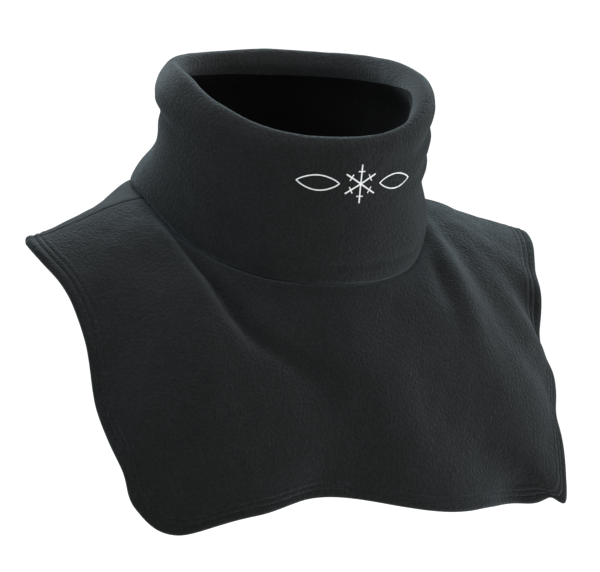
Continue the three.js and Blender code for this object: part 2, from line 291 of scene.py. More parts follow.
def tilted(points: Array) -> Array:
    """Points drawn for level shoulders, with the wearer's left side lowered and the right one lifted."""
    drop = SHOULDER_DROP * points[..., 0] / SHOULDER_REACH
    return points - drop[..., None] * (0, 0, 1)


def lengths_along(points: Array) -> Array:
    """How far each point of a line lies from its start."""
    steps = np.linalg.norm(np.diff(points, axis=0), axis=1)
    return np.concatenate([[0], np.cumsum(steps)])


def unit(vectors: Array) -> Array:
    """Vectors of the same directions with a length of 1."""
    return vectors / np.maximum(np.linalg.norm(vectors, axis=-1, keepdims=True), 1e-12)


def normals_of(surface: Surface, a: Array, b: Array, step_a: float, step_b: float) -> Array:
    """The outward normals of a surface, from two small steps across it.

    Args:
        surface: gives the points at two coordinates.
        a: the coordinate that runs round the neck.
        b: the coordinate that runs away from the neck.
        step_a: a small step of a.
        step_b: a small step of b.

    Returns:
        A normal for each pair of coordinates.
    """
    along = surface(a + step_a, b) - surface(a - step_a, b)
    out = surface(a, b + step_b) - surface(a, b - step_b)
    return unit(np.cross(out, along))


# Cloth


class NeckSeam:
    """The line on which the collar is sewn to the bibs."""

    def __init__(self) -> None:
        """Lays the half table out as a whole ring."""
        half = np.array([(row.reach * NECK_REACH, row.height * NECK_DROP) for row in NECK_SEAM])
        self.ring = np.concatenate([half, half[-2:0:-1]])
        self.step = NECK_SEAM[1].angle

    def point(self, angle: Array, inset: Array | float = 0.0, lower: Array | float = 0.0) -> Array:
        """Gives points on the seam.

        Args:
            angle: degrees from the front.
            inset: how far they are moved in towards the middle of the neck.
            lower: how far they are lowered.

        Returns:
            The points.
        """
        row = closed_curve(self.ring, angle / self.step)
        points = outward(angle) * (row[..., 0] - inset)[..., None]
        points[..., 2] = row[..., 1] - lower
        points[..., 0] += NECK_SHIFT
        return tilted(points)

    def reach(self, angle: Array) -> Array:
        """How far the seam lies from the middle of the neck."""
        return closed_curve(self.ring, angle / self.step)[..., 0]

    def steepness(self, angle: Array) -> Array:
        """The factor that turns a gap square to the seam into one straight down."""
        step = self.point(angle + 1) - self.point(angle - 1)
        return np.linalg.norm(step, axis=-1) / np.hypot(step[..., 0], step[..., 1])


class CollarForm:
    """The middle of the collar's cloth: up the outer layer, over the fold and down the inner layer."""

    OUTER_SHARE = 0.52

    def __init__(self, seam: NeckSeam) -> None:
        """Keeps the seam that the collar stands on.

        Args:
            seam: the seam.
        """
        self.seam = seam
        self.rows = np.array(COLLAR_SECTIONS)
        self.step = 360 / len(COLLAR_SECTIONS)

    def section(self, angle: Array) -> Array:
        """The guide points of the cloth at each angle, as distance out and height.

        Args:
            angle: degrees from the front.

        Returns:
            The guide points in order along the cloth, one pair for each angle and guide.
        """
        row = closed_curve(self.rows, angle / self.step)
        stand, flare, waist, throat, roll, reach = np.moveaxis(row, -1, 0)
        tall = stand * COLLAR_HEIGHT
        thick = roll * ROLL
        outside = COLLAR_RADIUS * reach - FLEECE / 2
        inside = outside - thick + FLEECE
        foot = self.seam.reach(angle) - FLEECE / 2
        inner_foot = foot + FLEECE / 2 - SEAM_ALLOWANCE + FLEECE

        def out(share: float, move: Array) -> Array:
            """A share of the way from the foot to the fold, moved out."""
            return foot + (outside - foot) * share + move * COLLAR_RADIUS

        ground = np.zeros_like(tall)
        guide = (
            (foot, ground),
            (out(0.1, flare), tall * 0.14),
            (out(0.5, waist), tall * 0.45),
            (out(0.85, throat), tall * 0.72),
            (outside, tall - thick * 0.55),
            ((outside + inside) / 2, tall - FLEECE / 2),
            (inside, tall - thick * 0.6),
            (inside + thick * 0.22, tall - thick * 1.5),
            ((inside + inner_foot) / 2 + waist * COLLAR_RADIUS, tall * 0.4),
            (inner_foot, ground),
        )
        return np.stack([np.stack(pair, -1) for pair in guide], -2)

    def crease(self, angle: Array, along: Array) -> Array:
        """How far the creases move the outer layer.

        Args:
            angle: degrees from the front.
            along: the share of the way along the cloth, from its outer foot to its inner one.

        Returns:
            The distance out in metres.
        """
        up = along / self.OUTER_SHARE
        move = np.zeros_like(angle)
        for crease in COLLAR_CREASES:
            aside = turn_between(angle, crease.angle) / crease.wide
            above = (up - crease.high) / crease.tall
            move += crease.push * CREASE_DEPTH * np.exp(-aside * aside - above * above)
        return move

    def flat(self, angle: Array, along: Array) -> Array:
        """The section's distance out and height, read along a centripetal curve.

        Args:
            angle: degrees from the front.
            along: the share of the way along the cloth.

        Returns:
            The distance and height above the seam, paired.
        """
        guide = self.section(angle)
        ends = (2 * guide[..., :1, :] - guide[..., 1:2, :], 2 * guide[..., -1:, :] - guide[..., -2:-1, :])
        points = np.concatenate([ends[0], guide, ends[1]], -2)
        spans = guide.shape[-2] - 1
        place = np.clip(along, 0, 1) * spans
        start = np.minimum(np.floor(place).astype(int), spans - 1)
        t = (place - start)[..., None]
        before, here, there, after = (
            np.take_along_axis(points, (start + step)[..., None, None], -2)[..., 0, :] for step in range(4)
        )
        pairs = ((before, here), (here, there), (there, after))
        first, middle, last = (np.sqrt(np.linalg.norm(b - a, axis=-1))[..., None] for a, b in pairs)
        across = (there - here) / middle
        leave = ((here - before) / first - (there - before) / (first + middle) + across) * middle
        arrive = (across - (after - here) / (middle + last) + (after - there) / last) * middle
        return hermite(here, there, leave, arrive, t)

    def point(self, angle: Array, along: Array) -> Array:
        """The middle of the cloth in space, at each angle and place along the cloth.

        Args:
            angle: degrees from the front.
            along: the share of the way along the cloth.

        Returns:
            The points.
        """
        angle, along = np.broadcast_arrays(angle, along)
        distance, height = np.moveaxis(self.flat(angle, along), -1, 0)
        up = np.maximum(0, height) / COLLAR_HEIGHT
        points = outward(angle) * (distance + self.crease(angle, along))[..., None]
        points[..., 0] += NECK_SHIFT * (1 - up)
        points[..., 1] -= COLLAR_LEAN * up
        points[..., 2] = height + self.seam.point(angle)[..., 2]
        return points


class BibForm:
    """The middle of the bibs' cloth, on ribs that run from the neck seam to the hem."""

    RIB_STEP = 0.02
    SHARE_STEP = 0.004

    def __init__(self, seam: NeckSeam) -> None:
        """Places the guide points of every rib.

        Args:
            seam: the seam that the ribs leave.
        """
        self.seam = seam
        self.rings = {
            column: self.ring([getattr(rib, column) for rib in RIBS])
            for column in ("near", "far", "hem")
        }
        left = [outward(np.array(float(rib.neck))) for rib in RIBS]
        right = [point * (-1, 1, 1) for point in left[-2:0:-1]]
        self.neck_ring = np.array(left + right)

    @staticmethod
    def ring(shares: Sequence[Triple]) -> Array:
        """Guide points of the left ribs and, mirrored, of the right ones.

        Args:
            shares: across, along and down for each rib, from the front to the back.

        Returns:
            The points in space, all the way round.
        """
        left = []
        for index, (across, along, down) in enumerate(shares):
            back = index > SHOULDER_RIB
            reach = BACK_REACH if back else -FRONT_REACH
            drop = BACK_DROP if back else FRONT_DROP
            left.append((across * SHOULDER_REACH, along * reach, -down * drop))
        right = [(-x, y, z) for x, y, z in left[-2:0:-1]]
        return tilted(np.array(left + right))

    def neck_angle(self, place: Array) -> Array:
        """The angle at which the rib at a place leaves the neck."""
        way = closed_curve(self.neck_ring, place)
        return np.degrees(np.arctan2(way[..., 0], -way[..., 1]))

    def smooth(self, place: Array, share: Array) -> Array:
        """The cloth without its folds. A share below zero lies under the collar, and 1 is on the hem.

        Args:
            place: the place round the neck, in ribs.
            share: the share of the way to the hem.

        Returns:
            The points.
        """
        place, share = np.broadcast_arrays(place, share)
        angle = self.neck_angle(place)
        under = (SEAM_GAP + FLEECE / 2) * self.seam.steepness(angle)
        guide = [self.seam.point(angle, 0.0, under)]
        guide += [closed_curve(self.rings[column], place) for column in ("near", "far", "hem")]
        t = np.maximum(share, 0)[..., None]
        s = 1 - t
        free = s**3 * guide[0] + 3 * s * s * t * guide[1] + 3 * s * t * t * guide[2] + t**3 * guide[3]
        tucked = self.seam.point(angle, -share * SEAM_ALLOWANCE, under)
        return np.where((share <= 0)[..., None], tucked, free)

    def fold(self, place: Array, share: Array) -> tuple[Array, Array]:
        """How far the folds move the cloth.

        Args:
            place: the place round the neck, in ribs.
            share: the share of the way to the hem.

        Returns:
            How far the cloth moves out and how far it moves up.
        """
        rib = turn_between(place * 360 / RIBS_ROUND, 0) * RIBS_ROUND / 360
        held = smooth_step(share, 0, SEAM_HOLD)
        out, up = np.zeros_like(share), np.zeros_like(share)
        for fold in FOLDS:
            middle, wide, lift = (
                open_curve(np.array(column, float)[:, None], share)[..., 0]
                for column in (fold.rib, fold.wide, fold.lift)
            )
            strength = np.exp(-(((rib - middle) / wide) ** 2))
            out += lift * FOLD_DEPTH * strength * held
            up += fold.rise * FOLD_DEPTH * strength * share**3
        return out, up

    def point(self, place: Array, share: Array) -> Array:
        """The cloth with its folds.

        Args:
            place: the place round the neck, in ribs.
            share: the share of the way to the hem.

        Returns:
            The points.
        """
        place, share = np.broadcast_arrays(place, share)
        smooth = self.smooth(place, share)
        out, up = self.fold(place, share)
        normals = normals_of(self.smooth, place, share, self.RIB_STEP, self.SHARE_STEP)
        moved = smooth + normals * out[..., None]
        moved[..., 2] += up
        return np.where((share <= 0)[..., None], smooth, moved)

    def hem_rate(self, place: Array) -> Array:
        """The share of a rib that a metre square to the hem takes, as a mean over the ribs around.

        Args:
            place: the place round the neck, in ribs.

        Returns:
            The share for each metre.
        """
        aside, inward = 0.05, 0.02
        rates = []
        for near in (place + step for step in (-0.6, -0.4, -0.2, 0.0, 0.2, 0.4, 0.6)):
            one = np.ones_like(near)
            edge = self.point(near + aside, one) - self.point(near - aside, one)
            out = self.point(near, one) - self.point(near, one * (1 - inward))
            across = np.linalg.norm(np.cross(out, edge), axis=-1)
            rates.append(inward * np.linalg.norm(edge, axis=-1) / across)
        return np.mean(rates, axis=0)


# Finishes


class Grain(NamedTuple):
    """A layer of noise: its grain in metres, how many finer layers it holds and how strong these are."""

    size: float
    detail: float
    rough: float


class Shades(NamedTuple):
    """Three colours of one cloth, from its deep spots to its raised fibres."""

    deep: Quad
    body: Quad
    tips: Quad


class NodeFinish:
    """The shader nodes that both finishes share."""

    def __init__(self, name: str, roughness: float) -> None:
        """Starts a material.

        Args:
            name: its name.
            roughness: how matt it is.
        """
        self.made = bpy.data.materials.new(name)
        self.made.use_nodes = True
        self.tree = self.made.node_tree
        self.shader = self.tree.nodes["Principled BSDF"]
        self.shader.inputs["Roughness"].default_value = roughness
        self.where = self.tree.nodes.new("ShaderNodeTexCoord")

    def noise(self, grain: Grain) -> Socket:
        """Adds one layer of noise.

        Args:
            grain: how coarse and how rich it is.

        Returns:
            The noise's value.
        """
        made = self.tree.nodes.new("ShaderNodeTexNoise")
        made.inputs["Scale"].default_value = 1 / grain.size
        made.inputs["Detail"].default_value = grain.detail
        made.inputs["Roughness"].default_value = grain.rough
        self.tree.links.new(self.where.outputs["Object"], made.inputs["Vector"])
        return made.outputs["Fac"]

    def add_share(self, value: Socket, share: float, base: Socket) -> Socket:
        """Adds a share of one value to another.

        Args:
            value: the value that is added.
            share: how much of it.
            base: the value that it is added to.

        Returns:
            The sum.
        """
        made = self.tree.nodes.new("ShaderNodeMath")
        made.operation = "MULTIPLY_ADD"
        made.inputs[1].default_value = share
        self.tree.links.new(value, made.inputs[0])
        self.tree.links.new(base, made.inputs[2])
        return made.outputs[0]

    def raise_by(self, height: Socket, strength: float, distance: float) -> None:
        """Gives the shader a bumpy surface.

        Args:
            height: what raises it.
            strength: the share of the bumps that shows.
            distance: their height in metres.
        """
        bump = self.tree.nodes.new("ShaderNodeBump")
        bump.inputs["Strength"].default_value = strength
        bump.inputs["Distance"].default_value = distance
        self.tree.links.new(height, bump.inputs["Height"])
        self.tree.links.new(bump.outputs["Normal"], self.shader.inputs["Normal"])


@dataclass(frozen=True)
class Fleece:
    """Short-napped polar fleece, matt, with fibres that catch a low light."""

    name: str
    shades: Shades
    sheen: float
    sheen_tint: Quad
    roughness: float = 0.95
    shine: float = 0.08
    sheen_roughness: float = 0.38
    nap: Grain = Grain(1.9 * MM, 3.0, 0.62)
    tufts: Grain = Grain(0.8 * MM, 2.0, 0.6)
    tuft_share: float = 0.42
    brushing: Grain = Grain(21 * MM, 2.0, 0.5)
    brushing_share: float = 0.3
    shade_places: Triple = (0.68, 0.86, 1.0)
    nap_height: float = 1.25 * MM
    nap_strength: float = 0.9

    def material(self) -> bpy.types.Material:
        """Builds the finish from layers of noise.

        Returns:
            The material.
        """
        finish = NodeFinish(self.name, self.roughness)
        shader, links = finish.shader, finish.tree.links
        shader.inputs["Specular IOR Level"].default_value = self.shine
        shader.inputs["Sheen Weight"].default_value = self.sheen
        shader.inputs["Sheen Roughness"].default_value = self.sheen_roughness
        shader.inputs["Sheen Tint"].default_value = self.sheen_tint
        fibres = finish.add_share(finish.noise(self.tufts), self.tuft_share, finish.noise(self.nap))
        worn = finish.add_share(finish.noise(self.brushing), self.brushing_share, fibres)

        ramp = finish.tree.nodes.new("ShaderNodeValToRGB")
        low, high = ramp.color_ramp.elements
        low.position, middle_position, high.position = self.shade_places
        low.color, high.color = self.shades.deep, self.shades.tips
        middle = ramp.color_ramp.elements.new(middle_position)
        middle.color = self.shades.body
        links.new(worn, ramp.inputs["Fac"])
        links.new(ramp.outputs["Color"], shader.inputs["Base Color"])
        finish.raise_by(fibres, self.nap_strength, self.nap_height)
        return finish.made


@dataclass(frozen=True)
class Thread:
    """Sewing or embroidery thread."""

    name: str
    color: Quad
    pale: Quad
    roughness: float
    sheen: float = 0.15
    tone: Grain = Grain(4 * MM, 2.0, 0.5)
    twist: float = 0.35 * MM
    twist_height: float = 0.1 * MM
    twist_strength: float = 0.5
    waves_per_scale: float = 0.31

    def material(self) -> bpy.types.Material:
        """Builds the finish: a fine twist in the thread, and a slight change of tone from place to place.

        Returns:
            The material.
        """
        finish = NodeFinish(self.name, self.roughness)
        nodes, links = finish.tree.nodes, finish.tree.links
        finish.shader.inputs["Sheen Weight"].default_value = self.sheen
        mix = nodes.new("ShaderNodeMix")
        mix.data_type = "RGBA"
        mix.inputs["A"].default_value = self.color
        mix.inputs["B"].default_value = self.pale
        links.new(finish.noise(self.tone), mix.inputs["Factor"])
        links.new(mix.outputs["Result"], finish.shader.inputs["Base Color"])
        twist = nodes.new("ShaderNodeTexWave")
        twist.bands_direction = "DIAGONAL"
        twist.inputs["Scale"].default_value = self.waves_per_scale / self.twist
        links.new(finish.where.outputs["Object"], twist.inputs["Vector"])
        finish.raise_by(twist.outputs["Fac"], self.twist_strength, self.twist_height)
        return finish.made


BLACK_FLEECE = Fleece(
    "black fleece",
    Shades((0.0088, 0.0092, 0.0092, 1), (0.0106, 0.0109, 0.0109, 1), (0.0135, 0.014, 0.0142, 1)),
    sheen=0.17,
    sheen_tint=(0.68, 0.8, 0.86, 1),
)
# Painted shade: the collar's inner layer is the same black fleece, made near-black and without sheen so
# that it stays dark as the shade inside the collar.
PAINTED_SHADE_FLEECE = Fleece(
    "black fleece, inner layer",
    Shades((0.0003, 0.0003, 0.0003, 1), (0.0006, 0.0005, 0.0006, 1), (0.001, 0.0009, 0.001, 1)),
    sheen=0.0,
    sheen_tint=(0.7, 0.8, 0.85, 1),
)
BLACK_THREAD = Thread("black sewing thread", (0.003, 0.0032, 0.0033, 1), (0.006, 0.0063, 0.0065, 1), 0.9)
WHITE_THREAD = Thread("white embroidery thread", (0.62, 0.63, 0.63, 1), (0.8, 0.8, 0.79, 1), 0.45)


class Hold(Enum):
    """How a sheet of cloth is held in its form."""

    DRAPED = "draped"
    FOLDED = "folded"


class Skin(Enum):
    """The material places of the collar's cloth: the fleece in its own colour, and the inner layer below
    the lip in a near-black painted shade.
    """

    SHOWN = 0
    PAINTED_SHADE = 1


# Making meshes


WELD = 0.02 * MM  # points closer than this become one


def cloth_grid(
    name: str, points: Array, skins: Array | None = None, reverse: bool = False, closed: bool = False
) -> bmesh.types.BMesh:
    """Makes a grid of faces and lays it on points.

    Args:
        name: what the cloth is, for the log.
        points: rows of points, each row running along the grid's columns.
        skins: the material place of each row of faces.
        reverse: turns its faces round.
        closed: sews its last column to its first.

    Returns:
        The mesh.
    """
    rows, columns = points.shape[0] - 1, points.shape[1] - 1
    mesh = bmesh.new()
    bmesh.ops.create_grid(mesh, x_segments=columns, y_segments=rows, size=0.5)
    for face in mesh.faces:
        face.smooth = True
        if skins is not None:
            face.material_index = int(skins[int((face.calc_center_median().y + 0.5) * rows)])
    for vert in mesh.verts:
        column = round((vert.co.x + 0.5) * columns)
        row = round((vert.co.y + 0.5) * rows)
        vert.co = points[row, column]
    if closed:
        bmesh.ops.remove_doubles(mesh, verts=mesh.verts[:], dist=WELD)
    if reverse:
        bmesh.ops.reverse_faces(mesh, faces=mesh.faces[:])
    log.info("%s: laid %d by %d faces", name, columns, rows)
    return mesh


def linked(name: str, data: bpy.types.ID) -> Piece:
    """Puts an object with this data into the scene."""
    made = bpy.data.objects.new(name, data)
    bpy.context.scene.collection.objects.link(made)
    return made


def mesh_object(name: str, mesh: bmesh.types.BMesh, materials: Sequence[bpy.types.Material]) -> Piece:
    """Turns a mesh into an object.

    Args:
        name: its name.
        mesh: its mesh, which is freed.
        materials: its materials in order.

    Returns:
        The object.
    """
    data = bpy.data.meshes.new(name)
    mesh.to_mesh(data)
    mesh.free()
    for material in materials:
        data.materials.append(material)
    return linked(name, data)


def sewn_piece(sheet: Piece, thickness: float, node: str) -> Piece:
    """Makes a sheet a piece of the model, as thick as its cloth, half to each side.

    Args:
        sheet: the sheet.
        thickness: how thick the cloth is.
        node: the part's node that it stands for.

    Returns:
        The piece.
    """
    wall = sheet.modifiers.new("thickness", "SOLIDIFY")
    wall.thickness = thickness
    wall.offset = 0
    wall.use_even_offset = False
    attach(sheet, "root")
    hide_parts(node)
    return sheet


class Wave(NamedTuple):
    """A wave of small unevenness: its grain and its height in metres, and where its noise is read."""

    grain: float
    high: float
    seed: float
    squeeze: float = 1.0  # how much lower than wide it is


def softened(points: Array, normals: Array, waves: Sequence[Wave], free: Array) -> Array:
    """Adds the small unevenness of soft cloth.

    Args:
        points: the cloth's points.
        normals: its normals.
        waves: the waves of smooth noise that lift it.
        free: 1 where the cloth is free to move, and 0 where it is sewn down.

    Returns:
        The moved points.
    """
    moved = np.zeros(points.shape[:-1])
    for wave in waves:
        flat = (points * (1, 1, wave.squeeze)).reshape(-1, 3) / wave.grain + wave.seed
        values = [noise.noise(Vector(point)) for point in flat]
        moved += np.array(values).reshape(moved.shape) * wave.high
    return points + normals * (moved * free)[..., None]


def even_places(points: Array, places: Array, pitch: float) -> Array:
    """Shares a line out evenly.

    Args:
        points: points along the line.
        places: the place of each point.
        pitch: the wanted distance between two of them.

    Returns:
        The places, a pitch apart, the first half a pitch from the line's start.
    """
    lengths = lengths_along(points)
    count = max(1, round(lengths[-1] / pitch))
    return np.interp((np.arange(count) + 0.5) * lengths[-1] / count, lengths, places)


class StitchWork:
    """A growing mesh of stitches, each one a slim bead of thread that lies on the cloth."""

    BATCH = 24
    SIDES, RINGS = 6, 5
    HEIGHT = 0.8

    def __init__(self) -> None:
        """Starts with no stitch."""
        self.whole = bmesh.new()
        self.batch = bmesh.new()
        self.count = 0

    def add(self, middle: Array, way: Array, up: Array, length: float, radius: float) -> None:
        """Adds one stitch.

        Args:
            middle: its middle.
            way: the direction along it.
            up: the cloth's outward normal there.
            length: its length.
            radius: its half width.
        """
        ahead = Vector(way).normalized()
        side = ahead.cross(Vector(up)).normalized()
        above = side.cross(ahead)
        place = Matrix.Identity(4)
        halves = (side * radius, above * radius * self.HEIGHT, ahead * length / 2)
        for column, axis in enumerate(halves):
            for row in range(3):
                place[row][column] = axis[row]
        place.translation = Vector(middle)
        bmesh.ops.create_uvsphere(
            self.batch, u_segments=self.SIDES, v_segments=self.RINGS, radius=1, matrix=place
        )
        self.count += 1
        if self.count % self.BATCH == 0:
            self.flush()

    def flush(self) -> None:
        """Moves the last stitches into the whole mesh, which keeps each step quick."""
        carrier = bpy.data.meshes.new("stitches")
        self.batch.to_mesh(carrier)
        self.whole.from_mesh(carrier)
        bpy.data.meshes.remove(carrier)
        self.batch.clear()

    def finish(self, name: str, thread: Thread, node: str) -> Piece:
        """Turns the stitches into a piece.

        Args:
            name: the piece's name.
            thread: what they are sewn with.
            node: the part's node that they are sewn on; not used.

        Returns:
            The piece.
        """
        self.flush()
        self.batch.free()
        bmesh.ops.recalc_face_normals(self.whole, faces=self.whole.faces[:])
        for face in self.whole.faces:
            face.smooth = True
        log.info("%s: %d stitches", name, self.count)
        piece = mesh_object(name, self.whole, [thread.material()])
        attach(piece, "root")
        return piece


# Pieces


CLOTH = 2.2 * MM  # thickness of the scene's cloth
FINE_STEPS = 900  # how finely a line is measured
FRONT_STEPS = 400  # and the collar's front, up to half its cloth


@dataclass
class Collar:
    """The tall collar: one sheet of fleece, folded double at the top."""

    NEAR = 0.004
    ANGLE_STEP = 0.5

    seam: NeckSeam
    columns: int = 264
    shown_rows: int = 88
    # rows of the inner layer that take the near-black painted shade
    painted_shade_rows: int = 38
    foot_rows: Triple = (-1, -0.66, -0.33)
    thickness: float = CLOTH
    foot_round: float = 2.2 * MM
    foot_turn: float = 3.5 * MM
    foot_lift: float = 0.2 * MM
    lips: tuple[float, ...] = (5, 5, 6, 11, 14.3, 14.7, 14.1, 12.2, 9.6, 6, 5, 5)
    waves: tuple[Wave, Wave] = (Wave(38 * MM, 0.9 * MM, 3.1, 1.6), Wave(11 * MM, 0.28 * MM, 8.4))
    held: float = 0.05
    front_swell: float = 4 * MM
    flat: Pair = (0.585, 0.205)
    form: CollarForm = field(init=False)

    def __post_init__(self) -> None:
        """Sets up the form of its cloth."""
        self.form = CollarForm(self.seam)

    def places(self) -> tuple[Array, Array]:
        """Shares the cloth out in columns and rows.

        The first rows are the turned-in foot. Then the shown cloth runs up, over the fold and as far down
        inside as the lip in lips reaches, which holds millimetres under the fold at equal angles. The
        rows of the inner layer below it follow; they take a near-black painted shade for the dark inside
        of the collar.

        Returns:
            The angle and the place along the cloth at each row and column.
        """
        angles = np.linspace(0, 360, self.columns + 1)
        fine = np.linspace(0, 1, FINE_STEPS)
        guide = np.array(self.lips, float)[:, None] * MM
        lips = closed_curve(guide, angles / 360 * len(guide))[:, 0]
        columns = []
        for angle, lip in zip(angles, lips):
            line = self.form.flat(np.full_like(fine, angle), fine)
            lengths = lengths_along(line)
            inside = (fine > fine[line[:, 1].argmax()]) & (line[:, 1] < line[:, 1].max() - lip)
            edge = lengths[inside.argmax()]
            shown = np.linspace(0, edge, self.shown_rows + 1)
            painted_inside = np.linspace(edge, lengths[-1], self.painted_shade_rows + 1)[1:]
            along = np.interp(np.append(shown, painted_inside), lengths, fine)
            columns.append(np.concatenate([self.foot_rows, along]))
        rows = np.array(columns).T
        return np.broadcast_to(angles, rows.shape), rows

    def layer(self, angle: Array, along: Array) -> Array:
        """The middle of the cloth, with its foot turned in.

        Args:
            angle: degrees from the front.
            along: the place along the cloth, below zero on the turned-in foot.

        Returns:
            The points.
        """
        angle, along = np.broadcast_arrays(angle, along)
        points = self.form.point(angle, np.maximum(along, 0))
        height = points[..., 2] - self.seam.point(angle)[..., 2]
        rest = np.clip(self.foot_round - height, 0, self.foot_round)
        inward = self.foot_round - np.sqrt(self.foot_round**2 - rest**2)
        outer = along < 0.5
        inward = np.where(outer, inward + np.maximum(-along, 0) * self.foot_turn, 0)
        points -= outward(angle) * inward[..., None]
        points[..., 2] += np.where(outer, self.foot_lift * rest / self.foot_round, 0)
        return points

    def normals(self, angle: Array, along: Array) -> Array:
        """The outward normals of the collar's cloth."""
        along = np.clip(along, self.NEAR, 1 - self.NEAR)
        return -normals_of(self.form.point, angle, along, self.ANGLE_STEP, self.NEAR)

    def shown(self, angle: Array, along: Array) -> tuple[Array, Array]:
        """The cloth with its small unevenness, and its outward normals."""
        normals = self.normals(angle, along)
        free = smooth_step(along, 0.0, self.held)
        return softened(self.layer(angle, along), normals, self.waves, free), normals

    def build(self) -> Piece:
        """Builds the collar's cloth.

        Returns:
            The piece.
        """
        points, _ = self.shown(*self.places())
        points[:, -1] = points[:, 0]
        skins = [Skin.SHOWN.value] * (len(self.foot_rows) + self.shown_rows)
        # the inner layer below the lip takes the near-black painted shade, standing in for the dark inside
        # of the collar
        skins += [Skin.PAINTED_SHADE.value] * self.painted_shade_rows
        mesh = cloth_grid("collar_fleece", points, skins=np.array(skins), closed=True)
        sheet = mesh_object("collar_fleece", mesh, [BLACK_FLEECE.material(), PAINTED_SHADE_FLEECE.material()])
        return sewn_piece(sheet, self.thickness, "collar")

    def on_surface(self, x: float, y: float, lift: float) -> tuple[Array, Array]:
        """A point on the collar's front.

        Args:
            x: how far it lies to the wearer's left of the front centre, round the collar.
            y: how far it lies above the neck seam.
            lift: how far it stands off the cloth.

        Returns:
            The point and the cloth's outward normal there.
        """
        angle = np.array([math.degrees(x / (COLLAR_RADIUS + self.front_swell))])
        fine = np.linspace(0, 0.5, FRONT_STEPS)
        heights = self.form.flat(np.full_like(fine, angle[0]), fine)[:, 1]
        along = np.array([np.interp(y, heights[: heights.argmax()], fine[: heights.argmax()])])
        point, normal = self.shown(angle, along)
        return (point + normal * (self.thickness / 2 + lift))[0], normal[0]


class HemWave(NamedTuple):
    """A swelling or a sewn groove of the hem: its place from the edge, its reach and its height."""

    inward: float
    wide: float
    high: float


